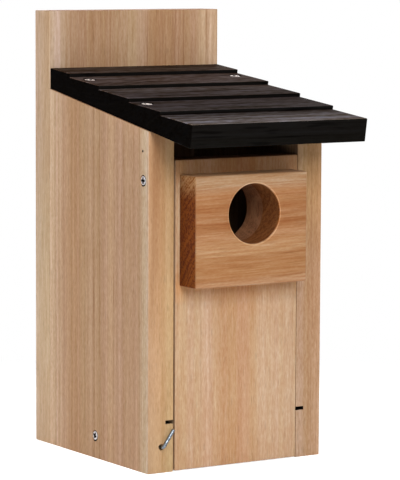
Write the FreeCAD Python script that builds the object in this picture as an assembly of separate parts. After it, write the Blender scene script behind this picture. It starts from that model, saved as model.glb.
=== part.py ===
import FreeCAD, Part
import math
import os

from FreeCAD import Placement, Rotation, Vector

# A cedar nest box for bluebirds. Millimetres, +Z up, +Y towards the back.
# The origin is the middle of the overall footprint, on the ground.

# House body
house_width = 131.0
side_depth = 124.1
side_front_height = 215.2
side_thickness = 18.7
back_rise = 37.3
back_thickness = 19.0
floor_thickness = 19.0
floor_recess = 5.1
floor_corner_clip = 7.0
floor_fit = 0.15

# Roof board, milled into overlapping slats
roof_pitch_deg = 9.45
roof_thickness = 15.0
roof_overhang = 49.6
roof_side_inset = 0.3
roof_offset = 0.3
slat_run = 37.0
slat_drop = 2.4

# Door, which hangs on two pivot screws near its top
door_thickness = 19.0
door_vent_gap = 18.5
door_bottom_gap = 0.5
door_side_gap = 0.75
door_offset = 0.5
door_stop_gap = 0.4
pivot_drop = 12.5
pivot_inset = 7.1
pivot_running_gap = 0.08

# Guard block and entrance hole
guard_width = 83.9
guard_height = 70.4
guard_thickness = 19.0
guard_drop = 8.85
guard_offset = -0.95
entrance_diameter = 38.1
entrance_drop = 25.3
entrance_offset = 0.95

# Raised mesh floor in saw kerfs of the two sides
kerf_bottom_height = 30.9
kerf_height = 2.25
kerf_depth = 5.8
mesh_wire = 1.2
mesh_pitch = 8.0
mesh_end_gap = 0.5
mesh_door_gap = 1.0

# Latch: an L-shaped screw hook in the front edge of the left side
latch_wire = 2.2
latch_inset = 10.2
latch_height = 16.2
latch_reach = 13.4
latch_bend_radius = 1.8
latch_face_gap = 0.8
latch_depth = 20.0
latch_swing_gap = 1.0
latch_tip_round = 0.5
latch_hole_gap = 0.1
latch_mouth = 3.8
latch_mouth_depth = 2.0

# Wood screws with countersunk cross heads
screw_shank = 3.5
screw_head = 7.2
screw_head_rim = 0.5
screw_head_height = 2.6
screw_tip = 5.0
screw_tip_flat = 0.6
screw_head_sink = 0.4
screw_seat_gap = 0.25
screw_hole_gap = 0.05
recess_span = 4.2
recess_slot = 0.95
recess_depth = 1.5
recess_cone = 2.8
recess_cone_depth = 2.4
head_turn_deg = {"left": 20.0, "right": 65.0}

screw_bite = 23.0
roof_screw_front_inset = 17.4
roof_screw_rear_inset = 36.2
roof_screw_sides = {"front": ("left",), "rear": ("left", "right")}
floor_screw_inset = 65.9
guard_screw_cover = 6.5
guard_screw_edge = 10.25
guard_screw_rise = 15.0
back_screw_low = 42.0
back_screw_drop = 46.0

# Holes for the screws that fix the back board to a post, and a brad hole in the left side
mounting_hole = 5.0
mounting_hole_count = 2
mounting_hole_spacing = 110.0
mounting_hole_low = 70.0
brad_hole = 1.6
brad_hole_depth = 3.0
brad_hole_inset = 6.9
brad_hole_rise = 18.4

# Places that follow from the sizes
sides = {"left": -1, "right": 1}
half_width = house_width / 2
inner_half = half_width - side_thickness
side_middle = half_width - side_thickness / 2
front = (roof_overhang - side_depth - back_thickness) / 2
back_front = front + side_depth
rear = back_front + back_thickness
roof_front = front - roof_overhang
door_back = front + door_thickness
pitch_rise = math.tan(math.radians(roof_pitch_deg))
roof_rise = roof_thickness / math.cos(math.radians(roof_pitch_deg))
slat_rise = pitch_rise - slat_drop / slat_run
floor_front = door_back + door_stop_gap
floor_middle_height = floor_recess + floor_thickness / 2
door_top = side_front_height - door_vent_gap
door_half = inner_half - door_side_gap
door_left = door_offset - door_half
door_right = door_offset + door_half
pivot_height = door_top - pivot_drop
pivot_y = front + pivot_inset
guard_top = door_top - guard_drop
guard_bottom = guard_top - guard_height
entrance_height = guard_top - entrance_drop
entrance_radius = entrance_diameter / 2
overcut = 1.0
same_place = 1e-6


def roof_underside(y):
    return side_front_height + (y - front) * pitch_rise


def slat_edge(index):
    return roof_front + index * slat_run


def slat_at(y):
    return math.floor((y - roof_front) / slat_run)


def slat_surface(index, y):
    edge = slat_edge(index)
    return roof_underside(edge) + roof_rise + (y - edge) * slat_rise


def block(x0, x1, y0, y1, z0, z1):
    return Part.makeBox(x1 - x0, y1 - y0, z1 - z0, Vector(x0, y0, z0))


def rod(start, direction, radius, length):
    return Part.makeCylinder(radius, length, start, direction)


def turned(profile):
    """A solid of revolution about Z from (radius, height) points that start and end on the axis."""
    outline = Part.makePolygon([Vector(r, 0, z) for r, z in profile + profile[:1]])
    return Part.Face(outline).revolve(Vector(0, 0, 0), Vector(0, 0, 1), 360)


def prism_x(outline, x0, x1):
    """A prism along X from (y, z) points."""
    corners = [Vector(x0, y, z) for y, z in outline + outline[:1]]
    return Part.Face(Part.makePolygon(corners)).extrude(Vector(x1 - x0, 0, 0))


def driven(shape, seat, direction, spin_deg=0.0):
    """Places a shape made along -Z so that it is driven from seat along direction."""
    placed = shape.copy()
    aim = Rotation(Vector(0, 0, -1), direction)
    placed.Placement = Placement(seat, aim.multiply(Rotation(Vector(0, 0, 1), spin_deg)))
    return placed


def wood_screw(length):
    head = screw_head / 2
    shank = screw_shank / 2
    body = turned([
        (0, 0),
        (head, 0),
        (head, -screw_head_rim),
        (shank, -screw_head_height),
        (shank, screw_tip - length),
        (screw_tip_flat / 2, -length),
        (0, -length),
    ])
    span, slot = recess_span / 2, recess_slot / 2
    cross = block(-span, span, -slot, slot, -recess_depth, overcut)
    cross = cross.fuse(block(-slot, slot, -span, span, -recess_depth, overcut))
    cone = turned([(0, 0), (recess_cone / 2, 0), (0, -recess_cone_depth)])
    return body.cut(cross).cut(cone)


def screw_hole(length, hole_gap):
    """The space that a wood screw takes in the boards that it goes through."""
    head = screw_head / 2 + screw_seat_gap
    shank = screw_shank / 2 + hole_gap
    return turned([
        (0, overcut),
        (head, overcut),
        (head, -screw_head_rim),
        (shank, -screw_head_height),
        (shank, -length - hole_gap),
        (0, -length - hole_gap),
    ])


class Screw:
    """One wood screw: its solid, and the hole that it needs."""

    def __init__(self, seat, direction, length, spin_deg=0.0, hole_gap=screw_hole_gap):
        sunk = seat + direction * screw_head_sink
        self.solid = driven(wood_screw(length), sunk, direction, spin_deg)
        self.hole = driven(screw_hole(length, hole_gap), sunk, direction)


def roof_screws():
    lean = math.atan(slat_rise)
    down = Vector(0, math.sin(lean), -math.cos(lean))
    rows = {"front": front + roof_screw_front_inset, "rear": back_front - roof_screw_rear_inset}
    found = {}
    for row, y in rows.items():
        for side in roof_screw_sides[row]:
            seat = Vector(sides[side] * side_middle, y, slat_surface(slat_at(y), y))
            screw = Screw(seat, down, roof_thickness + screw_bite, head_turn_deg[side])
            found[f"roof_screw_{row}_{side}"] = screw
    return found


def floor_screws():
    y = front + floor_screw_inset
    found = {}
    for side, sign in sides.items():
        seat = Vector(sign * half_width, y, floor_middle_height)
        screw = Screw(seat, Vector(-sign, 0, 0), side_thickness + screw_bite, head_turn_deg[side])
        found[f"floor_screw_{side}"] = screw
    return found


def pivot_screws():
    found = {}
    for side, sign in sides.items():
        seat = Vector(sign * half_width, pivot_y, pivot_height)
        inward = Vector(-sign, 0, 0)
        screw = Screw(seat, inward, side_thickness + screw_bite, hole_gap=pivot_running_gap)
        found[f"pivot_screw_{side}"] = screw
    return found


def back_screws():
    forward = Vector(0, -1, 0)
    length = back_thickness + screw_bite
    rows = {"lower": back_screw_low, "upper": roof_underside(back_front) - back_screw_drop}
    found = {}
    for row, height in rows.items():
        for side, sign in sides.items():
            seat = Vector(sign * side_middle, rear, height)
            found[f"back_screw_{row}_{side}"] = Screw(seat, forward, length, head_turn_deg[side])
    floor_seat = Vector(0, rear, floor_middle_height)
    found["back_screw_floor"] = Screw(floor_seat, forward, length, head_turn_deg["left"])
    return found


def guard_screws():
    forward = Vector(0, -1, 0)
    height = guard_bottom + guard_screw_rise
    length = door_thickness + guard_thickness - guard_screw_cover
    found = {}
    for side, sign in sides.items():
        x = guard_offset + sign * (guard_width / 2 - guard_screw_edge)
        seat = Vector(x, door_back, height)
        found[f"guard_screw_{side}"] = Screw(seat, forward, length, head_turn_deg[side])
    return found


def drilled(board, screws):
    for screw in screws.values():
        board = board.cut(screw.hole)
    return board


def back_board():
    height = slat_surface(slat_at(back_front), back_front) + back_rise
    board = block(-half_width, half_width, back_front, rear, 0, height)
    for step in range(mounting_hole_count):
        start = Vector(0, back_front - overcut, mounting_hole_low + step * mounting_hole_spacing)
        board = board.cut(rod(start, Vector(0, 1, 0), mounting_hole / 2, back_thickness + 2 * overcut))
    return drilled(board, back_screws())


def side_board(sign):
    """A side wall: sign is -1 for the left one and 1 for the right one."""
    outline = [
        (front, 0),
        (back_front, 0),
        (back_front, roof_underside(back_front)),
        (front, side_front_height),
    ]
    outer, inner = sorted((sign * half_width, sign * inner_half))
    board = prism_x(outline, outer, inner)
    kerf_ends = sorted((sign * (inner_half + kerf_depth), sign * (inner_half - overcut)))
    kerf_top = kerf_bottom_height + kerf_height
    board = board.cut(
        block(*kerf_ends, front - overcut, back_front + overcut, kerf_bottom_height, kerf_top)
    )
    return drilled(board, {**roof_screws(), **floor_screws(), **pivot_screws(), **back_screws()})


def left_side():
    board = side_board(-1)
    mouth = Vector(-half_width + latch_inset, front - overcut, latch_height)
    inward = Vector(0, 1, 0)
    hook_hole = rod(
        mouth, inward, latch_wire / 2 + latch_hole_gap, overcut + latch_depth + latch_hole_gap
    )
    hook_hole = hook_hole.fuse(rod(mouth, inward, latch_mouth / 2, overcut + latch_mouth_depth))
    brad = rod(
        Vector(-half_width - overcut, front + brad_hole_inset, pivot_height + brad_hole_rise),
        Vector(1, 0, 0),
        brad_hole / 2,
        brad_hole_depth + overcut,
    )
    return board.cut(hook_hole).cut(brad)


def right_side():
    return side_board(1)


def floor_board():
    half = inner_half - floor_fit
    clip = floor_corner_clip
    y0, y1 = floor_front, back_front
    outline = [
        (-half + clip, y0),
        (half - clip, y0),
        (half, y0 + clip),
        (half, y1 - clip),
        (half - clip, y1),
        (-half + clip, y1),
        (-half, y1 - clip),
        (-half, y0 + clip),
    ]
    corners = [Vector(x, y, floor_recess) for x, y in outline + outline[:1]]
    board = Part.Face(Part.makePolygon(corners)).extrude(Vector(0, 0, floor_thickness))
    return drilled(board, {**floor_screws(), **back_screws()})


def roof_board():
    """The board's front and the slats' risers are square to the board, and its rear end is plumb."""
    left = roof_offset - half_width + roof_side_inset
    right = roof_offset + half_width - roof_side_inset
    lean_back = math.sin(math.radians(roof_pitch_deg))
    foot_shift = slat_drop * lean_back / (math.cos(math.radians(roof_pitch_deg)) + lean_back * slat_rise)
    bottom = roof_front + roof_thickness * lean_back
    outline = [(back_front, roof_underside(back_front)), (bottom, roof_underside(bottom))]
    slats = math.ceil((back_front - roof_front) / slat_run)
    for index in range(slats):
        edge, end = slat_edge(index), min(slat_edge(index + 1) + foot_shift, back_front)
        outline += [(edge, slat_surface(index, edge)), (end, slat_surface(index, end))]
    return drilled(prism_x(outline, left, right), roof_screws())


def entrance(y0, y1):
    start = Vector(entrance_offset, y0 - overcut, entrance_height)
    return rod(start, Vector(0, 1, 0), entrance_radius, y1 - y0 + 2 * overcut)


def front_door():
    board = block(door_left, door_right, front, door_back, door_bottom_gap, door_top)
    board = board.cut(entrance(front, door_back))
    return drilled(board, {**pivot_screws(), **guard_screws()})


def guard_block():
    left, right = guard_offset - guard_width / 2, guard_offset + guard_width / 2
    board = block(left, right, front - guard_thickness, front, guard_bottom, guard_top)
    board = board.cut(entrance(front - guard_thickness, front))
    return drilled(board, guard_screws())


def mesh_floor():
    """A square wire mesh: one sheet with a grid of openings, its edges in the kerfs."""
    half = inner_half + kerf_depth - mesh_end_gap
    y0, y1 = door_back + mesh_door_gap, back_front - mesh_end_gap
    across = int((2 * half - mesh_wire) / mesh_pitch)
    along = int((y1 - y0 - mesh_wire) / mesh_pitch)
    opening = mesh_pitch - mesh_wire
    x_start = -across * mesh_pitch / 2 + mesh_wire / 2
    y_start = (y0 + y1 - along * mesh_pitch) / 2 + mesh_wire / 2

    def square(x, y, width, length):
        corners = [(x, y), (x + width, y), (x + width, y + length), (x, y + length), (x, y)]
        return Part.makePolygon([Vector(cx, cy, kerf_bottom_height) for cx, cy in corners])

    wires = [square(-half, y0, 2 * half, y1 - y0)]
    for column in range(across):
        for row in range(along):
            x, y = x_start + column * mesh_pitch, y_start + row * mesh_pitch
            wires.append(square(x, y, opening, opening))
    sheet = Part.Face(wires, "Part::FaceMakerCheese")
    return sheet.extrude(Vector(0, 0, mesh_wire))


def latch_turned_deg():
    """The turn, up from level, that takes the hook's tip clear of the door's edge."""
    free_reach = half_width - latch_inset + door_left - latch_wire / 2 - latch_swing_gap
    return math.degrees(math.acos(min(1.0, free_reach / latch_reach)))


def latch_hook():
    """A bent wire: a shank along Y, a bend, and an arm that is turned clear of the door."""
    radius = latch_wire / 2
    arm_y = -radius - latch_face_gap
    bend_end = arm_y + latch_bend_radius
    shank = rod(Vector(0, bend_end, 0), Vector(0, 1, 0), radius, latch_depth - bend_end)
    section = Part.Face(Part.Wire(Part.makeCircle(radius, Vector(0, bend_end, 0), Vector(0, 1, 0))))
    bend = section.revolve(Vector(latch_bend_radius, bend_end, 0), Vector(0, 0, 1), 90)
    arm_start = Vector(latch_bend_radius, arm_y, 0)
    arm = rod(arm_start, Vector(1, 0, 0), radius, latch_reach - latch_bend_radius)
    hook = shank.fuse([bend, arm]).removeSplitter()
    tips = [e for e in hook.Edges if abs(e.BoundBox.XMin - latch_reach) < same_place]
    hook = hook.makeFillet(latch_tip_round, tips)
    hook.rotate(Vector(0, 0, 0), Vector(0, -1, 0), latch_turned_deg())
    hook.translate(Vector(-half_width + latch_inset, front, latch_height))
    return hook


def pieces():
    made = {
        "back_board": back_board(),
        "left_side": left_side(),
        "right_side": right_side(),
        "floor_board": floor_board(),
        "roof_board": roof_board(),
        "front_door": front_door(),
        "guard_block": guard_block(),
        "mesh_floor": mesh_floor(),
        "latch_hook": latch_hook(),
    }
    for group in (roof_screws(), floor_screws(), pivot_screws(), back_screws(), guard_screws()):
        made.update({name: screw.solid for name, screw in group.items()})
    return made


def main():
    os.makedirs("parts", exist_ok=True)
    for name, shape in pieces().items():
        shape.exportStep(f"parts/{name}.step")
        print(f"{name}: {len(shape.Solids)} solid, {shape.Volume:.0f} mm3, valid {shape.isValid()}")


main()
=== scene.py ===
import math

import bmesh
import bpy
from mathutils import Euler, Matrix, Vector


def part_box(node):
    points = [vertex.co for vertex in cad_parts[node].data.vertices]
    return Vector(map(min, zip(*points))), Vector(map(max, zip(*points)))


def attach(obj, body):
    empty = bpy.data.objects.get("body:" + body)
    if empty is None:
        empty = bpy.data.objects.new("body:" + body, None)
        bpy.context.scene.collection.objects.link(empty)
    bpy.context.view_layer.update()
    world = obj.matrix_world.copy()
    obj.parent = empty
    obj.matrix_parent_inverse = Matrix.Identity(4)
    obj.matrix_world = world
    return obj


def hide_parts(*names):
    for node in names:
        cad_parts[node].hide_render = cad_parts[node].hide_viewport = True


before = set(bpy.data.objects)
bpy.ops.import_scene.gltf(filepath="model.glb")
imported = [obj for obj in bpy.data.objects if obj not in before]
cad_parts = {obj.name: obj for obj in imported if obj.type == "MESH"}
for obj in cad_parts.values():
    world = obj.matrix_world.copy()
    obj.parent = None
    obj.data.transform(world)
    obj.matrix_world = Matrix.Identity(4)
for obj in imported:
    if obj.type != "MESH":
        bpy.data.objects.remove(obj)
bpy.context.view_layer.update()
print("frame loaded:", len(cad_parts), "nodes")

xAxis, yAxis, zAxis = Vector((1, 0, 0)), Vector((0, 1, 0)), Vector((0, 0, 1))
quarterTurn = math.radians(90)
mergeDistance = 1e-7  # vertices closer than this become one
slack = 1e-5  # allowed in tests of where a point lies
faceOn = 0.9  # a normal with this much along an axis faces that way


# Mesh helpers

def lathe(profile, segments=48):  # solid of revolution about Z from (radius, height) points, axis to axis
    bm = bmesh.new()
    points = [bm.verts.new((radius, 0, height)) for radius, height in profile]
    rim = [bm.edges.new(pair) for pair in zip(points, points[1:])]
    bmesh.ops.spin(bm, geom=points + rim, axis=zAxis, cent=(0, 0, 0),
                   angle=math.tau, steps=segments, use_merge=True)
    bmesh.ops.remove_doubles(bm, verts=bm.verts, dist=mergeDistance)
    bmesh.ops.recalc_face_normals(bm, faces=bm.faces)
    return bm


def drill(radius, top, bottom, segments):  # a round bar along Z that cuts a hole
    return lathe([(0, top), (radius, top), (radius, bottom), (0, bottom)], segments)


def brick(low, high):  # box between two corners
    bm = bmesh.new()
    bmesh.ops.create_cube(bm, size=1)
    size = Vector(high) - Vector(low)
    bmesh.ops.scale(bm, vec=size, verts=bm.verts)
    bmesh.ops.translate(bm, vec=Vector(low) + size / 2, verts=bm.verts)
    return bm


def ease(bm, width, edges=None, segments=3):  # rounds edges as sandpaper does
    bmesh.ops.bevel(bm, geom=edges or bm.edges[:], offset=width, offset_type="OFFSET", segments=segments,
                    profile=0.5, affect="EDGES", material=-1, clamp_overlap=True)


def firstFace(geometry):
    return next(part for part in geometry if isinstance(part, bmesh.types.BMFace))


def pull(bm, face, shift):  # extrudes a face and gives back the moved one
    grown = bmesh.ops.extrude_face_region(bm, geom=[face])["geom"]
    moved = [part for part in grown if isinstance(part, bmesh.types.BMVert)]
    bmesh.ops.translate(bm, vec=shift, verts=moved)
    return firstFace(grown)


def aim(bm, seat, direction, spin=0.0):  # turns a shape made along -Z so that it points along direction
    turn = (-zAxis).rotation_difference(Vector(direction)).to_matrix().to_4x4()
    place = Matrix.Translation(seat) @ turn @ Matrix.Rotation(spin, 4, "Z")
    bmesh.ops.transform(bm, matrix=place, verts=bm.verts)
    return bm


def asObject(bm, name):
    mesh = bpy.data.meshes.new(name)
    bm.to_mesh(mesh)
    bm.free()
    made = bpy.data.objects.new(name, mesh)
    bpy.context.scene.collection.objects.link(made)
    return made


def carve(piece, cutters):  # takes each cutter's shape out of the piece
    tools = [asObject(bm, f"cutter{i}") for i, bm in enumerate(cutters)]
    for tool in tools:
        cut = piece.modifiers.new("cut", "BOOLEAN")
        cut.operation = "DIFFERENCE"
        cut.solver = "EXACT"
        cut.object = tool
    shape = piece.evaluated_get(bpy.context.evaluated_depsgraph_get())
    carved = bpy.data.meshes.new_from_object(shape)
    plain = piece.data
    piece.modifiers.clear()
    piece.data = carved
    bpy.data.meshes.remove(plain)
    carved.name = piece.name
    for tool in tools:
        bpy.data.meshes.remove(tool.data)  # takes the tool's object with it


def mark(piece, name, chosen):  # a face attribute that is 1 on the chosen faces
    layer = piece.data.attributes.new(name, "FLOAT", "FACE")
    for face in piece.data.polygons:
        layer.data[face.index].value = float(chosen(face.center, face.normal))


def fit(piece, material, body, slot, *nodes, smoothDeg=20):  # finish, body and the nodes it stands for
    piece.data.materials.clear()
    piece.data.materials.append(material)
    piece.data.shade_smooth()
    piece.data.set_sharp_from_angle(angle=math.radians(smoothDeg))
    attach(piece, body)
    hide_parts(*nodes)


# Node helpers
noiseMiddle = 0.5  # the value that noise swings about


def rgb(red, green, blue):
    return (red, green, blue, 1.0)


white = rgb(1, 1, 1)


def node(tree, kind, inputs=None, **settings):  # a node with its inputs set or linked
    made = tree.nodes.new(kind)
    for name, value in settings.items():
        setattr(made, name, value)
    for name, value in (inputs or {}).items():
        if isinstance(value, bpy.types.NodeSocket):
            tree.links.new(value, made.inputs[name])
        else:
            made.inputs[name].default_value = value
    return made


def maths(tree, operation, first, second=0.0, third=0.0):
    return node(tree, "ShaderNodeMath", {0: first, 1: second, 2: third}, operation=operation).outputs[0]


def vectorMaths(tree, operation, first, second):
    return node(tree, "ShaderNodeVectorMath", {0: first, 1: second}, operation=operation).outputs[0]


def parts(tree, vector):
    return node(tree, "ShaderNodeSeparateXYZ", {0: vector}).outputs


def attribute(tree, name):
    return node(tree, "ShaderNodeAttribute", attribute_name=name).outputs["Fac"]


def noise(tree, vector, factors, detail=2.0, roughness=0.5):
    scaled = vectorMaths(tree, "MULTIPLY", vector, factors)
    made = node(tree, "ShaderNodeTexNoise",
                {"Vector": scaled, "Scale": 1.0, "Detail": detail, "Roughness": roughness})
    return made.outputs["Fac"]


def stripes(tree, place, scale, offset, detail, roughness):  # noise of one measure: bands of uneven width
    count = maths(tree, "MULTIPLY_ADD", place, scale, offset)
    made = node(tree, "ShaderNodeTexNoise",
                {"W": count, "Scale": 1.0, "Detail": detail, "Roughness": roughness}, noise_dimensions="1D")
    return made.outputs["Fac"]


def swing(tree, value):  # noise as a swing to both sides of 0
    return maths(tree, "SUBTRACT", value, noiseMiddle)


def remap(tree, value, low, high, curve="SMOOTHSTEP"):  # 0 at low, 1 at high
    made = node(tree, "ShaderNodeMapRange", {"Value": value, "From Min": low, "From Max": high},
                interpolation_type=curve)
    return made.outputs[0]


def tint(tree, factor, first, second, blend="MIX"):  # a Mix node's colour sockets are 6 and 7 in, 2 out
    made = node(tree, "ShaderNodeMix", {0: factor, 6: first, 7: second}, data_type="RGBA", blend_type=blend)
    return made.outputs[2]


def ramp(tree, value, stops):  # colours at places from 0 to 1
    made = node(tree, "ShaderNodeValToRGB", {"Fac": value})
    bands = made.color_ramp
    bands.interpolation = "EASE"
    bands.elements.remove(bands.elements[1])
    bands.elements[0].position = stops[0][0]
    bands.elements[0].color = rgb(*stops[0][1])
    for position, colour in stops[1:]:
        bands.elements.new(position).color = rgb(*colour)
    return made.outputs["Color"]


def newGroup(name, inputs, outputs):  # sockets are given as the labels of each kind
    tree = bpy.data.node_groups.new(name, "ShaderNodeTree")
    kinds = {"value": "NodeSocketFloat", "vector": "NodeSocketVector", "colour": "NodeSocketColor"}
    for way, sockets in (("INPUT", inputs), ("OUTPUT", outputs)):
        for kind, labels in sockets.items():
            for label in labels:
                tree.interface.new_socket(label, in_out=way, socket_type=kinds[kind])
    return tree, node(tree, "NodeGroupInput").outputs, node(tree, "NodeGroupOutput").inputs


def emptyTree(owner):  # the cleared nodes of a material or a world
    owner.use_nodes = True
    owner.node_tree.nodes.clear()
    return owner.node_tree


# Growth rings and fibres of one board, with the grain along Z
grainShape = {
    "slowAcross": 11,  # noise scales are features per metre, across the grain and along it
    "quick": (70, 70, 9),
    "quickShare": 0.16,
    "fades": (60, 60, 16),
    "shortFibre": (1400, 1400, 320),
    "longFibre": (700, 700, 36),
    "fleck": (1500, 1500, 110),
    "cloud": (30, 30, 6),
    "bandStripes": (1.1, 3.0, 2.0, 0.6),  # stripes in a ring's width, start, detail and roughness
    "blushStripes": (0.33, 41.0, 1.0, 0.5),
    "lineStripes": (1.3, 17.0, 1.0, 0.5),
    "blushSteps": (0.3, 0.7),  # where an effect begins and where it is full
    "fadeSteps": (0.38, 0.64),
    "lineSteps": (0.60, 0.74),
    "fleckSteps": (0.64, 0.78),
    "endSteps": (0.55, 0.9),
}
grainVectors = ("Pith", "Seed")
grainValues = ("Ring Width", "Wander", "Wave", "Fibre Scale", "Long Share")
grainMasks = ("Ring", "Band", "Fleck", "Cloud", "Blush", "End")  # what the finish takes as it is


def boardGrainGroup():
    shape = grainShape
    tree, given, result = newGroup(
        "boardGrain",
        {"vector": ("Vector", "Normal", *grainVectors), "value": grainValues},
        {"value": (*grainMasks, "Fibre", "Sway")},
    )
    place = vectorMaths(tree, "ADD", given["Vector"], given["Seed"])
    fromPith = vectorMaths(tree, "SUBTRACT", given["Vector"], given["Pith"])
    flat = vectorMaths(tree, "MULTIPLY", fromPith, (1, 1, 0))
    radius = node(tree, "ShaderNodeVectorMath", {0: flat}, operation="LENGTH").outputs["Value"]
    across = shape["slowAcross"]
    slowly = node(tree, "ShaderNodeCombineXYZ", {0: across, 1: across, 2: given["Wave"]}).outputs[0]
    slow = swing(tree, noise(tree, place, slowly, detail=1.0))
    quick = swing(tree, noise(tree, place, shape["quick"], detail=1.0))
    drift = maths(tree, "ADD", slow, maths(tree, "MULTIPLY", quick, shape["quickShare"]))
    sway = maths(tree, "MULTIPLY", drift, given["Wander"])
    rings = maths(tree, "DIVIDE", maths(tree, "ADD", radius, sway), given["Ring Width"])
    lines = remap(tree, stripes(tree, rings, *shape["lineStripes"]), *shape["lineSteps"])
    fades = remap(tree, noise(tree, place, shape["fades"], detail=1.0), *shape["fadeSteps"])
    scaled = node(tree, "ShaderNodeVectorMath", {0: place, "Scale": given["Fibre Scale"]},
                  operation="SCALE").outputs[0]
    short = noise(tree, scaled, shape["shortFibre"])
    long = noise(tree, scaled, shape["longFibre"])
    share = maths(tree, "MULTIPLY", maths(tree, "SUBTRACT", long, short), given["Long Share"])
    along = parts(tree, given["Normal"])["Z"]
    found = {
        "Ring": maths(tree, "MULTIPLY", lines, fades),
        "Band": stripes(tree, rings, *shape["bandStripes"]),
        "Fleck": remap(tree, noise(tree, scaled, shape["fleck"], detail=0.0), *shape["fleckSteps"]),
        "Cloud": noise(tree, place, shape["cloud"]),
        "Blush": remap(tree, stripes(tree, rings, *shape["blushStripes"]), *shape["blushSteps"]),
        "End": remap(tree, maths(tree, "ABSOLUTE", along), *shape["endSteps"]),
        "Fibre": maths(tree, "ADD", short, share),
        "Sway": sway,
    }
    for label, value in found.items():
        tree.links.new(value, result[label])
    return tree


# Colour, gloss and relief of planed or stained wood
finishShape = {
    "yellowed": rgb(0.99, 1.01, 0.92),
    "blushed": rgb(1.01, 0.985, 1.06),
    "mottleBand": 0.5,  # how much of the mottling on cut faces follows the bands
    "mottleSteps": (0.6, 0.9),
    "roughSwing": 0.25,
    "ringDip": 0.4,
}
finishColours = ("Line", "End Pale", "End Line", "End Sap", "Sawn Shade Pale", "Sawn Shade Line", "Painted Light Tint")
finishValues = ("Line Amount", "Band Amount", "Fibre Amount", "Fleck Amount", "Cloud Amount", "Blush Amount",
                "Warm Green", "Warm Blue", "Rough")


def woodFinishGroup():
    shape = finishShape
    tree, given, result = newGroup(
        "woodFinish",
        {"colour": ("Ground", *finishColours),
         "value": (*grainMasks, "Fibre", "Sap", "Sawn Shade", "Painted Light", *finishValues)},
        {"colour": ("Colour",), "value": ("Roughness", "Height")},
    )
    hue = tint(tree, given["Blush"], shape["yellowed"], shape["blushed"])
    flushed = tint(tree, 1.0, given["Ground"], hue, "MULTIPLY")
    ground = tint(tree, given["Blush Amount"], given["Ground"], flushed)
    line = tint(tree, 1.0, ground, given["Line"], "MULTIPLY")
    lined = tint(tree, maths(tree, "MULTIPLY", given["Ring"], given["Line Amount"]), ground, line)
    banded = maths(tree, "MULTIPLY", given["Band"], shape["mottleBand"])
    mottle = remap(tree, maths(tree, "ADD", given["Fibre"], banded), *shape["mottleSteps"])
    ends = tint(tree, mottle, tint(tree, given["Sap"], given["End Pale"], given["End Sap"]),
                tint(tree, given["Sap"], given["End Line"], given["End Pale"]))
    cut = tint(tree, given["End"], lined, ends)
    cut = tint(tree, given["Sawn Shade"], cut, tint(tree, mottle, given["Sawn Shade Pale"], given["Sawn Shade Line"]))
    # painted light: the marked faces are tinted darker as painted shade, or lighter as a painted highlight
    cut = tint(tree, given["Painted Light"], cut, tint(tree, 1.0, cut, given["Painted Light Tint"], "MULTIPLY"))
    shade = 1.0
    for label in ("Fibre", "Band", "Cloud"):
        change = maths(tree, "MULTIPLY", swing(tree, given[label]), given[f"{label} Amount"])
        shade = maths(tree, "ADD", change, shade)
    green = maths(tree, "POWER", shade, given["Warm Green"])
    blue = maths(tree, "POWER", shade, given["Warm Blue"])
    warm = node(tree, "ShaderNodeCombineColor", {0: shade, 1: green, 2: blue}).outputs[0]
    coloured = tint(tree, 1.0, cut, warm, "MULTIPLY")
    speck = maths(tree, "SUBTRACT", 1.0, maths(tree, "MULTIPLY", given["Fleck"], given["Fleck Amount"]))
    tree.links.new(tint(tree, 1.0, coloured, speck, "MULTIPLY"), result["Colour"])
    rougher = maths(tree, "MULTIPLY", swing(tree, given["Fibre"]), shape["roughSwing"])
    tree.links.new(maths(tree, "ADD", given["Rough"], rougher), result["Roughness"])
    dip = maths(tree, "MULTIPLY", given["Ring"], shape["ringDip"])
    tree.links.new(maths(tree, "SUBTRACT", given["Fibre"], dip), result["Height"])
    return tree


boardGrain = boardGrainGroup()
woodFinish = woodFinishGroup()

grainTurns = {"x": 90, "z": 0}  # degrees about Y for grain along X or Z
grainAxes = {"x": "ZY", "z": "XY"}  # the board's axes across the grain
reliefDepth = 0.0004


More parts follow.
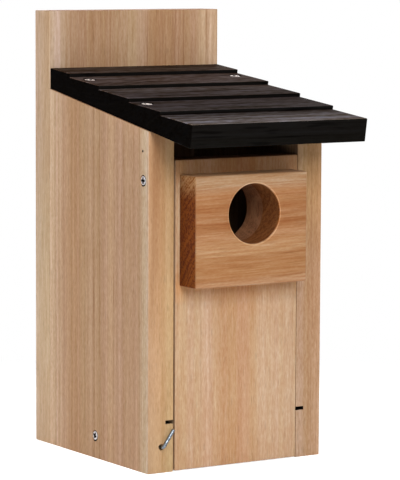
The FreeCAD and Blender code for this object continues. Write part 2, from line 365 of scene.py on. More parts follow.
def woodMaterial(name, look):
    material = bpy.data.materials.new(name)
    tree = emptyTree(material)
    where = node(tree, "ShaderNodeTexCoord").outputs
    turn = Euler((0, math.radians(grainTurns[look["grain"]] + look["tiltDeg"]), 0))
    vector = node(tree, "ShaderNodeMapping", {"Vector": where["Object"], "Rotation": turn}).outputs[0]
    normal = node(tree, "ShaderNodeMapping", {"Vector": where["Normal"], "Rotation": turn},
                  vector_type="NORMAL").outputs[0]
    settings = {label: look[label] for label in grainVectors + grainValues}
    grain = node(tree, "ShaderNodeGroup", {"Vector": vector, "Normal": normal, **settings},
                 node_tree=boardGrain).outputs
    low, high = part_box(look["node"])
    spots = parts(tree, vector)
    shift = maths(tree, "MULTIPLY", grain["Sway"], look["bandSway"])

    def acrossBoard(index):  # 0 to 1 along one of the two axes across the grain
        axis = "XYZ".index(grainAxes[look["grain"]][index])
        return remap(tree, maths(tree, "ADD", spots[index], shift), low[axis], high[axis], "LINEAR")

    wide = acrossBoard(look["across"])
    thick = acrossBoard(1 - look["across"])
    facing = parts(tree, normal)[look["across"]]
    edge = remap(tree, maths(tree, "ABSOLUTE", facing), *look["edgeTurn"])
    bands = tint(tree, edge, ramp(tree, wide, look["bands"]), ramp(tree, thick, look["edgeBands"]))
    height = remap(tree, parts(tree, where["Object"])["Z"], low.z, high.z, "LINEAR")
    tone = tint(tree, edge, ramp(tree, height, look["tone"]), ramp(tree, height, look["edgeTone"]))
    lively = maths(tree, "MULTIPLY_ADD", edge, -look["edgeCalm"], 1.0)
    calmed = maths(tree, "MULTIPLY", swing(tree, grain["Fibre"]), lively)
    finish = node(tree, "ShaderNodeGroup", {
        "Ground": tint(tree, 1.0, bands, tone, "MULTIPLY"),
        "Fibre": maths(tree, "ADD", calmed, noiseMiddle),
        "Sap": remap(tree, wide, *look["sap"]),
        "Sawn Shade": attribute(tree, "sawnShade"),
        "Painted Light": attribute(tree, "paintedLight"),
        **{label: grain[label] for label in grainMasks},
        **{label: rgb(*look[label]) for label in finishColours},
        **{label: look[label] for label in finishValues},
    }, node_tree=woodFinish).outputs
    bump = node(tree, "ShaderNodeBump",
                {"Height": finish["Height"], "Strength": look["relief"], "Distance": reliefDepth})
    shader = node(tree, "ShaderNodeBsdfPrincipled", {
        "Base Color": finish["Colour"], "Roughness": finish["Roughness"],
        "Normal": bump.outputs[0], "Specular IOR Level": look["specular"]})
    node(tree, "ShaderNodeOutputMaterial", {"Surface": shader.outputs[0]})
    return material


# Wood: bands run across a board's face, edgeBands across its edge, and tones multiply them from low to high
evenTone = ((0.0, (1, 1, 1)),)
cedar = {
    "grain": "z", "across": 0, "tiltDeg": 0.0, "Ring Width": 0.0040, "Wander": 0.006, "Wave": 3.0,
    "bandSway": 0.6, "Fibre Scale": 1.0, "Long Share": 0.38, "sap": (2.0, 3.0),  # past the board: no sapwood
    "edgeTurn": (0.6, 0.8), "edgeCalm": 0.0, "tone": evenTone, "edgeTone": evenTone,
    "Line": (0.74, 0.64, 0.54), "End Pale": (0.36, 0.19, 0.095), "End Line": (0.20, 0.085, 0.036),
    "End Sap": (0.40, 0.24, 0.13), "Sawn Shade Pale": (0.22, 0.115, 0.062), "Sawn Shade Line": (0.11, 0.050, 0.024),
    "Painted Light Tint": (0.55, 0.50, 0.45),  # painted shade on the inside faces
    "Line Amount": 0.8, "Band Amount": 0.4, "Fibre Amount": 0.85, "Fleck Amount": 0.14, "Cloud Amount": 0.2,
    "Blush Amount": 0.5, "Warm Green": 1.5, "Warm Blue": 2.2,  # darker streaks are warmer
    "Rough": 0.62, "relief": 0.2, "specular": 0.15,
}
darkCut = {"Sawn Shade Pale": (0.014, 0.009, 0.006), "Sawn Shade Line": (0.007, 0.0045, 0.003)}  # painted shade in the kerfs and in the front of the screw seats

woodLooks = {
    "backCedar": {
        **cedar, "node": "back_board", "Pith": (0.31, 0.05, 0), "Seed": (1.3, 0.2, 2.1),
        "Ring Width": 0.0032, "Long Share": 0.6, "Band Amount": 0.3, "tone": ((0.0, (1.08, 1.08, 1.08)),),
        "bands": (
            (0.03, (0.43, 0.30, 0.212)), (0.14, (0.32, 0.188, 0.105)), (0.3, (0.335, 0.193, 0.105)),
            (0.52, (0.40, 0.257, 0.153)), (0.62, (0.335, 0.18, 0.092)), (0.84, (0.375, 0.22, 0.122)),
            (0.93, (0.48, 0.318, 0.204)),
        ),
        "edgeBands": ((0.0, (0.50, 0.33, 0.22)), (0.9, (0.55, 0.37, 0.255)), (1.0, (0.58, 0.36, 0.22))),
        "edgeTone": (
            (0.0, (1.14, 1.18, 1.18)), (0.3, (1.2, 1.3, 1.3)), (0.5, (1.1, 1.17, 1.14)),
            (0.7, (1.03, 1.05, 1.02)),
        ),
    },
    "leftCedar": {
        **cedar, **darkCut, "node": "left_side", "across": 1, "Pith": (0.02, 0.36, 0),
        "Seed": (3.1, 1.4, 0.3), "Ring Width": 0.0044, "Line Amount": 0.7, "Band Amount": 0.42,
        "edgeCalm": 0.35,
        "bands": (
            (0.03, (0.53, 0.38, 0.258)), (0.10, (0.463, 0.281, 0.172)), (0.30, (0.468, 0.289, 0.174)),
            (0.36, (0.515, 0.323, 0.193)), (0.46, (0.432, 0.256, 0.144)), (0.62, (0.470, 0.289, 0.167)),
            (0.74, (0.461, 0.265, 0.138)), (0.86, (0.52, 0.321, 0.189)), (0.93, (0.61, 0.405, 0.262)),
            (0.99, (0.69, 0.475, 0.325)),
        ),
        "edgeBands": (
            (0.05, (0.43, 0.253, 0.132)), (0.35, (0.445, 0.257, 0.132)), (0.55, (0.42, 0.238, 0.115)),
            (0.75, (0.475, 0.302, 0.160)), (1.0, (0.505, 0.31, 0.156)),
        ),
        # painted light on the front edge: paler towards the bottom, and painted shade, darker and warmer
        # towards the top under the roof
        "edgeTone": (
            (0.0, (1.07, 1.17, 1.24)), (0.25, (1.09, 1.13, 1.19)), (0.5, (1.01, 1.01, 0.99)),
            (0.88, (0.96, 0.90, 0.83)),
        ),
    },
    "rightCedar": {
        **cedar, **darkCut, "node": "right_side", "across": 1, "Pith": (0.30, 0.20, 0),
        "Seed": (5.7, 2.2, 1.9), "Ring Width": 0.0026, "Band Amount": 0.38,
        "bands": ((0.0, (0.50, 0.32, 0.19)), (0.4, (0.52, 0.33, 0.20)), (1.0, (0.53, 0.345, 0.21))),
        "edgeBands": (
            (0.1, (0.45, 0.282, 0.172)), (0.55, (0.405, 0.222, 0.115)), (1.0, (0.475, 0.272, 0.145)),
        ),
        "edgeTone": ((0.1, (0.99, 1.07, 1.16)), (0.5, (0.93, 0.94, 0.96)), (0.8, (1.04, 1.04, 0.88))),
    },
    "floorCedar": {
        **cedar, "node": "floor_board", "grain": "x", "across": 1, "Pith": (0.02, 0.30, 0),
        "Seed": (7.2, 4.4, 3.3),
        "bands": ((0.0, (0.50, 0.32, 0.19)), (0.5, (0.46, 0.27, 0.15)), (1.0, (0.52, 0.34, 0.21))),
        "edgeBands": ((0.0, (0.48, 0.30, 0.17)), (1.0, (0.50, 0.32, 0.19))),
    },
    "doorCedar": {
        **cedar, "node": "front_door", "Pith": (-0.27, 0.03, 0), "Seed": (2.6, 6.1, 4.0),
        "Ring Width": 0.0030, "Long Share": 0.45, "Line Amount": 0.4, "Band Amount": 0.06,
        "Fibre Amount": 0.6, "Warm Green": 2.0, "Warm Blue": 3.0,
        "Sawn Shade Pale": (0.38, 0.18, 0.092), "Sawn Shade Line": (0.19, 0.08, 0.036),
        # painted shade: a warm band under the guard, and a darker, warmer top under the roof
        "tone": (
            (0.53, (1, 1, 1)), (0.556, (1.03, 0.96, 0.88)), (0.588, (0.98, 0.80, 0.62)),
            (0.7, (1, 1, 1)), (0.9, (1, 1, 1)), (0.96, (0.76, 0.62, 0.48)),
        ),
        "bands": (
            (0.0, (0.495, 0.31, 0.18)), (0.16, (0.50, 0.322, 0.192)), (0.26, (0.53, 0.347, 0.218)),
            (0.40, (0.475, 0.272, 0.147)), (0.60, (0.48, 0.272, 0.145)), (0.74, (0.535, 0.355, 0.226)),
            (0.86, (0.525, 0.345, 0.218)), (1.0, (0.505, 0.33, 0.205)),
        ),
        "edgeBands": ((0.0, (0.46, 0.28, 0.16)), (1.0, (0.48, 0.30, 0.17))),
    },
    "guardCedar": {
        **cedar, "node": "guard_block", "grain": "x", "tiltDeg": 1.2, "Pith": (0.05, -0.16, 0),
        "Seed": (4.4, 3.9, 1.2), "Ring Width": 0.0030, "Wander": 0.008, "Wave": 9.0, "bandSway": 1.0,
        "Long Share": 0.7, "Line Amount": 0.5, "Band Amount": 0.12, "Fleck Amount": 0.1,
        "Warm Green": 2.1, "Warm Blue": 3.4, "Line": (0.70, 0.50, 0.33), "sap": (0.78, 0.96),
        "End Pale": (0.195, 0.052, 0.005), "End Line": (0.075, 0.011, 0.0008),
        "End Sap": (0.40, 0.235, 0.11),
        "Sawn Shade Pale": (0.30, 0.115, 0.038), "Sawn Shade Line": (0.145, 0.042, 0.010),
        "Painted Light Tint": (1.4, 1.55, 1.75),  # painted highlight on the entrance's rounded rim
        "bands": (
            (0.0, (0.40, 0.21, 0.105)), (0.10, (0.35, 0.16, 0.062)), (0.22, (0.345, 0.158, 0.060)),
            (0.34, (0.415, 0.22, 0.108)), (0.47, (0.385, 0.188, 0.084)), (0.56, (0.30, 0.116, 0.039)),
            (0.62, (0.37, 0.175, 0.075)), (0.70, (0.33, 0.138, 0.048)), (0.82, (0.39, 0.185, 0.080)),
            (0.92, (0.40, 0.235, 0.125)),
        ),
        "edgeBands": ((0.0, (0.36, 0.19, 0.09)),),
    },
    "roofStain": {
        **cedar, "node": "roof_board", "grain": "x", "across": 1, "Pith": (0.40, 0.02, 0),
        "Seed": (9.4, 1.1, 0.8), "Ring Width": 0.0024, "bandSway": 1.5, "Fibre Scale": 0.40,
        "Long Share": 0.5, "edgeTurn": (0.25, 0.45), "edgeCalm": 0.86, "Band Amount": 0.9,
        "Fibre Amount": 5.4, "Fleck Amount": 0.5, "Cloud Amount": 0.5, "Warm Green": 1.25, "Warm Blue": 1.6,
        "Line": (0.42, 0.38, 0.35),
        "End Pale": (0.0042, 0.0034, 0.0030), "End Line": (0.0015, 0.0011, 0.0009),
        "Painted Light Tint": (2.2, 2.1, 2.0),  # painted highlight on the softened upper edges
        "Rough": 0.75, "relief": 0.25, "specular": 0.005,
        # slat tops: the stain's brown grain, made lighter by a painted sheen
        "bands": (
            (0.0, (0.112, 0.092, 0.085)), (0.10, (0.074, 0.060, 0.055)), (0.20, (0.032, 0.024, 0.022)),
            (0.32, (0.028, 0.020, 0.018)), (0.53, (0.039, 0.028, 0.025)), (0.74, (0.060, 0.041, 0.034)),
            (0.93, (0.038, 0.024, 0.016)),
        ),
        "edgeBands": ((0.0, (0.0062, 0.0054, 0.0048)),),
    },
}
wood = {name: woodMaterial(name, look) for name, look in woodLooks.items()}
print("wood finishes made:", len(wood))


# Plated steel
# the near-black colour is painted shade in the screws' cross and under their heads
platingShape = {"cloud": (420, 420, 420), "detail": 3.0, "roughness": 0.6, "cloudSteps": (0.38, 0.68),
                "roughSwing": 0.22, "paintedShade": rgb(0.006, 0.005, 0.005)}
steelLooks = {
    "screwZinc": {"Bright": rgb(0.74, 0.70, 0.71), "Dull": rgb(0.50, 0.47, 0.48),
                  "Rough": 0.34, "Metal": 0.5},
    # painted highlight: the same plating, brighter and warmer on the roof screws' heads
    "roofZincGlint": {"Bright": rgb(0.95, 0.85, 0.80), "Dull": rgb(0.74, 0.62, 0.56),
                 "Rough": 0.40, "Metal": 0.3},
    "hookZinc": {"Bright": rgb(0.19, 0.215, 0.245), "Dull": rgb(0.085, 0.097, 0.112),
                 "Rough": 0.24, "Metal": 1.0},
    "meshZinc": {"Bright": rgb(0.60, 0.61, 0.62), "Dull": rgb(0.44, 0.45, 0.46),
                 "Rough": 0.42, "Metal": 1.0},
}
shadedLooks = ("screwZinc", "roofZincGlint")


def platingGroup():
    shape = platingShape
    tree, given, result = newGroup(
        "plating",
        {"vector": ("Vector",), "colour": ("Bright", "Dull"), "value": ("Rough", "Metal", "Painted Shade")},
        {"colour": ("Colour",), "value": ("Roughness", "Metallic")},
    )
    blotches = noise(tree, given["Vector"], shape["cloud"], shape["detail"], shape["roughness"])
    cloud = remap(tree, blotches, *shape["cloudSteps"])
    clean = tint(tree, cloud, given["Bright"], given["Dull"])
    # painted shade: near-black, rough and not metallic where marked
    tree.links.new(tint(tree, given["Painted Shade"], clean, shape["paintedShade"]), result["Colour"])
    rough = maths(tree, "ADD", given["Rough"], maths(tree, "MULTIPLY", cloud, shape["roughSwing"]))
    tree.links.new(maths(tree, "MAXIMUM", rough, given["Painted Shade"]), result["Roughness"])
    bare = maths(tree, "SUBTRACT", 1.0, given["Painted Shade"])
    tree.links.new(maths(tree, "MULTIPLY", bare, given["Metal"]), result["Metallic"])
    return tree


plating = platingGroup()


def steelMaterial(name, look):
    material = bpy.data.materials.new(name)
    tree = emptyTree(material)
    where = node(tree, "ShaderNodeTexCoord").outputs
    coat = node(tree, "ShaderNodeGroup", {"Vector": where["Object"], **look}, node_tree=plating)
    metallic = look["Metal"]
    if name in shadedLooks:
        # painted shade marked on the faces of the screws
        tree.links.new(attribute(tree, "paintedShade"), coat.inputs["Painted Shade"])
        metallic = coat.outputs["Metallic"]
    shader = node(tree, "ShaderNodeBsdfPrincipled", {
        "Base Color": coat.outputs["Colour"], "Roughness": coat.outputs["Roughness"], "Metallic": metallic})
    node(tree, "ShaderNodeOutputMaterial", {"Surface": shader.outputs[0]})
    return material


steel = {name: steelMaterial(name, look) for name, look in steelLooks.items()}
print("steel finishes made:", len(steel))


# Slope of the roof and of its slats, which the sides and the roof's screws follow
roof = {"pitchDeg": 9.45, "thickness": 0.015, "slatRun": 0.037, "slatDrop": 0.0024, "ease": 0.0006,
        "highlitRise": 0.3, "highlitSide": 0.1, "highlitFront": 0.3}
roofSlope = math.tan(math.radians(roof["pitchDeg"]))
slatSlope = roofSlope - roof["slatDrop"] / roof["slatRun"]
slatLean = math.atan(slatSlope)
intoRoof = Vector((0, math.sin(slatLean), -math.cos(slatLean)))


# Screws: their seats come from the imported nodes
screw = {
    "headRadius": 0.0028, "headHeight": 0.0026, "shankRadius": 0.00175, "tip": 0.005,
    "rim": 0.0005, "rimRound": 0.4,  # the rounded share of the rim
    "crown": 0.00012,  # how far the head bulges
    "crownMiddle": 0.7, "crownEnd": 0.94,  # shares of the head's radius
    "recess": 0.0042, "slot": 0.0015, "recessDepth": 0.0015,  # the cross
    "bitDepth": 0.0024, "paintedShadeDepth": 0.0001,  # its pointed middle, and where the painted shade begins
    "bitReach": 0.62, "paintedShadeReach": 1.02,  # shares of half the cross
    "seatGap": 0.0008, "seatShift": 0.0007, "seatShade": 0.0009,  # room, place and how far back the painted shade reaches
    "overcut": 0.002, "spinStepDeg": 37,
}
roofScrew = {**screw, "headRadius": 0.0036, "crown": 0.0004, "recess": 0.0046, "slot": 0.0020}
spins = {"pivot_screw_left": 0, "floor_screw_left": 62}  # degrees, as photographed
drives = {"roof_screw": intoRoof, "back_screw": -yAxis, "guard_screw": -yAxis}
screwNames = sorted(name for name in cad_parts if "_screw" in name)


def screwShape(name):
    return roofScrew if name.startswith("roof") else screw


def screwDrive(name):  # the way a screw was driven in
    for group, direction in drives.items():
        if name.startswith(group):
            return direction
    return xAxis if name.endswith("left") else -xAxis


def screwSeat(name):  # middle of a screw's head, and its length
    direction = screwDrive(name)
    points = [v.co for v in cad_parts[name].data.vertices]
    depths = [p.dot(direction) for p in points]
    top = [p for p, depth in zip(points, depths) if depth < min(depths) + slack]
    low = Vector([min(p[i] for p in top) for i in range(3)])
    high = Vector([max(p[i] for p in top) for i in range(3)])
    return (low + high) / 2, max(depths) - min(depths)


def countersink(name):  # the seat that a screw's head sits in
    seat, length = screwSeat(name)
    if name.startswith(("pivot", "floor_screw")):
        seat = seat - yAxis * screw["seatShift"]  # drilled a little to the front of the screw
    wide = screwShape(name)["headRadius"] + screw["seatGap"]
    bm = lathe([(0, screw["overcut"]), (wide, screw["overcut"]), (wide, -screw["rim"]),
                (screw["shankRadius"], -screw["headHeight"] - screw["seatGap"]), (0, -length)])
    return aim(bm, seat, screwDrive(name))


def buildScrew(name, spin):
    seat, length = screwSeat(name)
    shape = screwShape(name)
    head, shank, rim, crown = shape["headRadius"], shape["shankRadius"], shape["rim"], shape["crown"]
    bm = lathe([(0, crown), (head * shape["crownMiddle"], crown * shape["crownMiddle"]),
                (head * shape["crownEnd"], 0), (head, -rim * shape["rimRound"]), (head, -rim),
                (shank, -shape["headHeight"]), (shank, shape["tip"] - length), (0, -length)])
    made = asObject(bm, name.replace("_screw", "Screw").replace("_", "."))
    span, slot = shape["recess"] / 2, shape["slot"] / 2
    above, below, bit = shape["overcut"], -shape["recessDepth"], span * shape["bitReach"]
    carve(made, [
        brick((-span, -slot, below), (span, slot, above)),
        brick((-slot, -span, below), (slot, span, above)),
        lathe([(0, above), (bit, above), (bit, 0), (0, -shape["bitDepth"])], segments=24),
    ])

    def inPaintedShade(point, normal):  # painted shade: in the cross or under the head's rim
        reach = math.hypot(point.x, point.y)
        inCross = point.z < -shape["paintedShadeDepth"] and reach < span * shape["paintedShadeReach"]
        return inCross or (point.z < -rim / 2 and reach > head / 2)

    mark(made, "paintedShade", inPaintedShade)
    turn = bmesh.new()
    turn.from_mesh(made.data)
    aim(turn, seat, screwDrive(name), spin)
    turn.to_mesh(made.data)
    turn.free()
    body = "door" if name.startswith(("pivot", "guard")) else "house"
    finish = steel["roofZincGlint" if shape is roofScrew else "screwZinc"]
    fit(made, finish, body, "screw_steel", name, smoothDeg=30)


for index, name in enumerate(screwNames):
    buildScrew(name, math.radians(spins.get(name, screw["spinStepDeg"] * index)))
print("screws made:", len(screwNames))


# Boards
board = {"ease": 0.0005, "overcut": 0.002}


def seats(*groups):
    return [countersink(name) for name in screwNames if name.startswith(groups)]


post = {"holes": 2, "radius": 0.0025, "low": 0.070, "spacing": 0.110, "reach": 0.03}  # for fixing to a post


def buildBack():
    low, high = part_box("back_board")
    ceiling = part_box("left_side")[1].z
    bm = brick(low, high)
    ease(bm, board["ease"])
    bmesh.ops.bisect_plane(bm, geom=bm.verts[:] + bm.edges[:] + bm.faces[:],
                           plane_co=(0, 0, ceiling), plane_no=zAxis)
    made = asObject(bm, "backBoard")
    holes = []
    for step in range(post["holes"]):
        hole = drill(post["radius"], post["reach"], -post["reach"], segments=32)
        middle = Vector((0, (low.y + high.y) / 2, post["low"] + step * post["spacing"]))
        holes.append(aim(hole, middle, yAxis))
    carve(made, holes + seats("back_screw"))
    # painted shade on the inside face below the roof
    mark(made, "paintedLight", lambda p, n: n.y < -faceOn and p.z < ceiling)
    fit(made, wood["backCedar"], "house", "cedar", "back_board")


latch = {"wire": 0.0022, "inset": 0.0102, "height": 0.0162, "reach": 0.0134, "bend": 0.0018, "gap": 0.0008,
         "depth": 0.020, "turnDeg": 55.19, "tipEase": 0.0005}
latchHole = {"gap": 0.0001, "depth": 0.021, "overcut": 0.001, "mouth": 0.0020, "mouthDepth": 0.0015,
             "mouthTip": 0.003, "mouthShift": (-0.0004, 0, 0.0003)}
brad = {"radius": 0.0008, "depth": 0.003, "inset": 0.0069, "height": 0.2026, "overcut": 0.001}
kerf = {"height": 0.00225, "bottom": 0.0309, "depth": 0.0058}
flatOn = 0.95  # a normal with less than this along X belongs to the wall of a hole in a side


def latchMouth(low):  # the hook's hole and its wider mouth
    seat = Vector((low.x + latch["inset"], low.y, latch["height"]))
    wide, above = latchHole["mouth"], latchHole["overcut"]
    shank = drill(latch["wire"] / 2 + latchHole["gap"], above, -latchHole["depth"], segments=24)
    mouth = lathe([(0, above), (wide, above), (wide, -latchHole["mouthDepth"]),
                   (0, -latchHole["mouthTip"])], segments=24)
    return [aim(shank, seat, yAxis), aim(mouth, seat + Vector(latchHole["mouthShift"]), yAxis)]


def buildSide(name, piece, finish, sign):
    low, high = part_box(name)
    middle = (low + high) / 2
    bm = brick(low, high)
    drop = (high.y - low.y) * roofSlope
    frontTop = [v for v in bm.verts if v.co.z > middle.z and v.co.y < middle.y]
    bmesh.ops.translate(bm, vec=(0, 0, -drop), verts=frontTop)
    ease(bm, board["ease"])
    made = asObject(bm, piece)
    past = board["overcut"]
    inner = low.x if sign > 0 else high.x
    ends = sorted((inner + sign * kerf["depth"], inner - sign * past))
    cutters = [brick((ends[0], low.y - past, kerf["bottom"]),
                     (ends[1], high.y + past, kerf["bottom"] + kerf["height"]))]
    side = name.split("_")[0]
    screws = [n for n in screwNames if n.startswith(("pivot", "floor_screw")) and n.endswith(side)]
    cutters += [countersink(n) for n in screws]
    holes = [screwSeat(n)[0] for n in screws]
    if sign < 0:
        bradSeat = Vector((low.x, low.y + brad["inset"], brad["height"]))
        bradHole = drill(brad["radius"], brad["overcut"], -brad["depth"], segments=16)
        cutters += latchMouth(low) + [aim(bradHole, bradSeat, xAxis)]
        holes.append(bradSeat)
    carve(made, cutters)

    def inCutShade(point, normal):  # painted shade: in the kerf, or in the front part of a hole in the outer face
        if -slack < point.z - kerf["bottom"] < kerf["height"] + slack:
            return True
        hole = min(holes, key=lambda h: (h.yz - point.yz).length)
        near = (hole.yz - point.yz).length < screw["headRadius"] + 2 * screw["seatGap"]
        return near and point.y - hole.y < screw["seatShade"] and abs(normal.x) < flatOn

    mark(made, "sawnShade", inCutShade)
    # painted shade on the inner face
    mark(made, "paintedLight", lambda p, n: n.x * sign < -faceOn)
    fit(made, wood[finish], "house", "cedar", name)


floorBoard = {"clip": 0.007}  # corners cut off, so that water drains


def buildFloor():
    low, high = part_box("floor_board")
    bm = brick(low, high)
    upright = [e for e in bm.edges if abs(e.verts[0].co.z - e.verts[1].co.z) > slack]
    ease(bm, floorBoard["clip"], upright, segments=1)
    ease(bm, board["ease"])
    made = asObject(bm, "floorBoard")
    fit(made, wood["floorCedar"], "house", "cedar", "floor_board")


entrance = {"radius": 0.01905, "x": 0.00095, "height": 0.16255, "ease": 0.0009, "easeMiddle": 0.3,
            "wallSlack": 0.0001, "wallTurn": 0.5, "rimTurn": (0.1, 0.98)}


def bore(rim, away, depth):  # entrance hole with one softened rim, cut from there along away
    radius, soft, past = entrance["radius"], entrance["ease"], board["overcut"]
    middle = soft * entrance["easeMiddle"]
    bm = lathe([(0, past), (radius + soft, past), (radius + soft, 0), (radius + middle, -middle),
                (radius, -soft), (radius, -depth - past), (0, -depth - past)], segments=128)
    return aim(bm, Vector((entrance["x"], rim, entrance["height"])), away)


def entranceReach(point):
    return math.hypot(point.x - entrance["x"], point.z - entrance["height"])


def inBore(point, normal):
    inside = entranceReach(point) < entrance["radius"] + entrance["wallSlack"]
    return inside and abs(normal.y) < entrance["wallTurn"]


def onRim(point, normal):
    least, most = entrance["rimTurn"]
    close = 0 < entranceReach(point) - entrance["radius"] < entrance["ease"]
    return close and least < abs(normal.y) < most


def buildDoor():
    low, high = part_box("front_door")
    bm = brick(low, high)
    ease(bm, board["ease"])
    made = asObject(bm, "frontDoor")
    carve(made, [bore(high.y, -yAxis, high.y - low.y)] + seats("guard_screw"))
    mark(made, "sawnShade", inBore)
    # painted shade on the inside face
    mark(made, "paintedLight", lambda p, n: n.y > faceOn)
    fit(made, wood["doorCedar"], "door", "cedar", "front_door")


guard = {"ease": 0.0012}


def buildGuard():
    low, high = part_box("guard_block")
    bm = brick(low, high)
    ease(bm, guard["ease"])
    made = asObject(bm, "guardBlock")
    carve(made, [bore(low.y, yAxis, high.y - low.y)])
    mark(made, "sawnShade", inBore)
    # painted highlight on the entrance's rounded rim
    mark(made, "paintedLight", onRim)
    fit(made, wood["guardCedar"], "door", "guard_wood", "guard_block")


def buildRoof():
    low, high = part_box("roof_board")
    pitch = math.radians(roof["pitchDeg"])
    sine, cosine = math.sin(pitch), math.cos(pitch)
    footShift = roof["slatDrop"] * sine / (cosine + sine * slatSlope)  # risers are square to the board
    bottom = low.y + roof["thickness"] * sine
    outline = [(high.y, low.z + (high.y - bottom) * roofSlope), (bottom, low.z)]
    edge = low.y
    while edge < high.y:
        end = min(edge + roof["slatRun"] + footShift, high.y)
        crest = low.z + (edge - bottom) * roofSlope + roof["thickness"] / cosine
        outline += [(edge, crest), (end, crest + (end - edge) * slatSlope)]
        edge += roof["slatRun"]
    bm = bmesh.new()
    corners = [bm.verts.new((low.x, y, z)) for y, z in outline]
    pull(bm, bm.faces.new(corners), (high.x - low.x, 0, 0))
    bmesh.ops.recalc_face_normals(bm, faces=bm.faces)
    ease(bm, roof["ease"], [e for e in bm.edges if e.is_convex])
    made = asObject(bm, "roofBoard")
    carve(made, seats("roof_screw"))

    def isHighlitEdge(point, normal):  # the softened upper edges, which get a painted highlight
        outward = abs(normal.x) > roof["highlitSide"] or normal.y < -roof["highlitFront"]
        return normal.z > roof["highlitRise"] and outward

    mark(made, "paintedLight", isHighlitEdge)
    fit(made, wood["roofStain"], "house", "roof_stain", "roof_board")


buildBack()
buildSide("left_side", "leftSide", "leftCedar", -1)
buildSide("right_side", "rightSide", "rightCedar", 1)
buildFloor()
buildDoor()
buildGuard()
buildRoof()
print("boards made")


# Latch: bent wire with a rounded tip, turned up clear of the door
def buildLatch():
    side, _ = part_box("left_side")
    radius = latch["wire"] / 2
    bendEnd = latch["bend"] - radius - latch["gap"]
    bm = bmesh.new()
    bmesh.ops.create_circle(bm, cap_ends=True, radius=radius, segments=24)
    bmesh.ops.rotate(bm, cent=(0, 0, 0), matrix=Matrix.Rotation(quarterTurn, 3, "X"), verts=bm.verts)
    bmesh.ops.translate(bm, vec=(0, latch["depth"], 0), verts=bm.verts)
    bm.faces.ensure_lookup_table()
    tip = pull(bm, bm.faces[0], (0, bendEnd - latch["depth"], 0))
    swept = bmesh.ops.spin(bm, geom=[tip], cent=(latch["bend"], bendEnd, 0), axis=zAxis,
                           angle=quarterTurn, steps=10, use_merge=False)
    tip = pull(bm, firstFace(swept["geom_last"]), (latch["reach"] - latch["bend"], 0, 0))
    ease(bm, latch["tipEase"], list(tip.edges), segments=4)
    bmesh.ops.recalc_face_normals(bm, faces=bm.faces)
    raised = Matrix.Rotation(math.radians(-latch["turnDeg"]), 3, "Y")
    bmesh.ops.rotate(bm, cent=(0, 0, 0), matrix=raised, verts=bm.verts)
    bmesh.ops.translate(bm, vec=(side.x + latch["inset"], side.y, latch["height"]), verts=bm.verts)
    made = asObject(bm, "latchHook")
    fit(made, steel["hookZinc"], "latch", "hook_steel", "latch_hook", smoothDeg=40)


buildLatch()
print("latch made")


# Raised floor of welded wire
wireMesh = {"wire": 0.0008, "pitch": 0.008, "sink": 0.0002}


def buildMesh():
    low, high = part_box("mesh_floor")
    wire, pitch = wireMesh["wire"], wireMesh["pitch"]
    radius = wire / 2
    bm = bmesh.new()

    def layWire(start, end):
        span = Vector(end) - Vector(start)
        turn = zAxis.rotation_difference(span).to_matrix().to_4x4()
        place = Matrix.Translation((Vector(start) + Vector(end)) / 2) @ turn
        bmesh.ops.create_cone(bm, cap_ends=True, segments=8, radius1=radius, radius2=radius,
                              depth=span.length, matrix=place)

    lower = low.z + radius
    upper = lower + wire - wireMesh["sink"]
    across = int((high.x - low.x - wire) / pitch)
    along = int((high.y - low.y - wire) / pitch)
    middle = (low + high) / 2
    for step in range(across + 1):
        x = middle.x + (step - across / 2) * pitch
        layWire((x, low.y, upper), (x, high.y, upper))
    for step in range(along + 1):
        y = middle.y + (step - along / 2) * pitch
        layWire((low.x, y, lower), (high.x, y, lower))
    made = asObject(bm, "meshFloor")
    fit(made, steel["meshZinc"], "house", "mesh_wire", "mesh_floor", smoothDeg=50)


buildMesh()
print("mesh floor made")


# Camera: the photograph's place and lens, for a frame of 400 by 480
camera = {"place": (-0.942974, -1.473756, 0.330417), "yawDeg": 32.683, "pitchDeg": -6.216, "rollDeg": 0.266,
          "lens": 203.71, "sensor": 36.0, "clipEnd": 50}


def buildCamera():
    yaw, pitch, roll = (math.radians(camera[k]) for k in ("yawDeg", "pitchDeg", "rollDeg"))
    forward = Vector((math.sin(yaw) * math.cos(pitch), math.cos(yaw) * math.cos(pitch), math.sin(pitch)))
    right = Vector((math.cos(yaw), -math.sin(yaw), 0))
    up = right.cross(forward)
    rolledRight = math.cos(roll) * right + math.sin(roll) * up
    rolledUp = math.cos(roll) * up - math.sin(roll) * right
    data = bpy.data.cameras.new("camera")
    data.lens = camera["lens"]
    data.sensor_width = camera["sensor"]
    data.clip_end = camera["clipEnd"]
    made = bpy.data.objects.new("camera", data)
    turn = Matrix((rolledRight, rolledUp, -forward)).transposed().to_4x4()
    made.matrix_world = Matrix.Translation(camera["place"]) @ turn
    bpy.context.scene.collection.objects.link(made)
    bpy.context.scene.camera = made


buildCamera()
print("camera made")


# Pale floor, white surroundings and soft lamps
studio = {"floorRadius": 6.0, "floorColour": rgb(0.95, 0.95, 0.95), "floorRough": 0.9, "floorSpecular": 0.1,
          "floorLift": 0.55, "clearFrom": 0.13, "clearTo": 0.42, "surround": 0.03, "aimHeight": 0.14}
lamps = {
    "key": {"place": (-0.50, -1.70, 1.02), "size": 0.95, "watts": 30},
    "left": {"place": (-1.9, 0.3, 0.75), "size": 1.2, "watts": 11.5},
    "top": {"place": (-0.2, -0.6, 2.2), "size": 1.6, "watts": 22},
    "right": {"place": (1.8, 0.45, 0.8), "size": 1.2, "watts": 12},
    "rear": {"place": (0.9, 1.9, 0.8), "size": 1.2, "watts": 14},
}


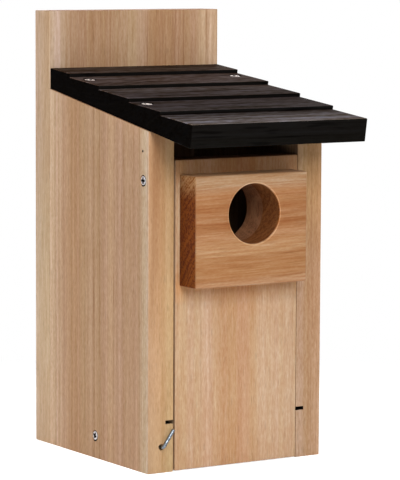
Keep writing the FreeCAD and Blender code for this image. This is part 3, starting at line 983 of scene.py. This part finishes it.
def seenWhite(tree):  # 1 for rays from the camera, a mirror or glass
    rays = node(tree, "ShaderNodeLightPath").outputs
    mirrored = maths(tree, "MAXIMUM", rays["Is Glossy Ray"], rays["Is Transmission Ray"])
    return maths(tree, "MAXIMUM", rays["Is Camera Ray"], mirrored)


def floorMaterial():  # keeps the shadow near the house and clears to white further out
    material = bpy.data.materials.new("paleFloor")
    tree = emptyTree(material)
    where = node(tree, "ShaderNodeTexCoord").outputs
    reach = node(tree, "ShaderNodeVectorMath", {0: where["Object"]}, operation="LENGTH").outputs["Value"]
    clear = remap(tree, reach, studio["clearFrom"], studio["clearTo"])
    seen = seenWhite(tree)
    paint = node(tree, "ShaderNodeBsdfPrincipled", {
        "Base Color": studio["floorColour"], "Roughness": studio["floorRough"],
        "Specular IOR Level": studio["floorSpecular"], "Emission Color": white,
        "Emission Strength": maths(tree, "MULTIPLY", seen, studio["floorLift"])})
    glow = node(tree, "ShaderNodeEmission", {"Color": white, "Strength": 1.0})
    share = maths(tree, "MULTIPLY", clear, seen)
    mix = node(tree, "ShaderNodeMixShader", {0: share, 1: paint.outputs[0], 2: glow.outputs[0]})
    node(tree, "ShaderNodeOutputMaterial", {"Surface": mix.outputs[0]})
    return material


def buildStudio():
    bm = bmesh.new()
    bmesh.ops.create_circle(bm, cap_ends=True, radius=studio["floorRadius"], segments=96)
    floor = asObject(bm, "studioFloor")
    floor.data.materials.append(floorMaterial())
    world = bpy.data.worlds.new("surround")
    bpy.context.scene.world = world
    tree = emptyTree(world)
    strength = maths(tree, "MULTIPLY_ADD", seenWhite(tree), 1 - studio["surround"], studio["surround"])
    light = node(tree, "ShaderNodeBackground", {"Color": white, "Strength": strength})
    node(tree, "ShaderNodeOutputWorld", {"Surface": light.outputs[0]})
    aimAt = Vector((0, 0, studio["aimHeight"]))
    for name, lamp in lamps.items():
        data = bpy.data.lights.new(name, "AREA")
        data.shape = "SQUARE"
        data.size = lamp["size"]
        data.energy = lamp["watts"]
        made = bpy.data.objects.new(name, data)
        made.location = lamp["place"]
        made.rotation_euler = (aimAt - made.location).to_track_quat("-Z", "Y").to_euler()
        bpy.context.scene.collection.objects.link(made)


buildStudio()
bpy.context.scene.view_settings.view_transform = "Standard"
print("studio made")
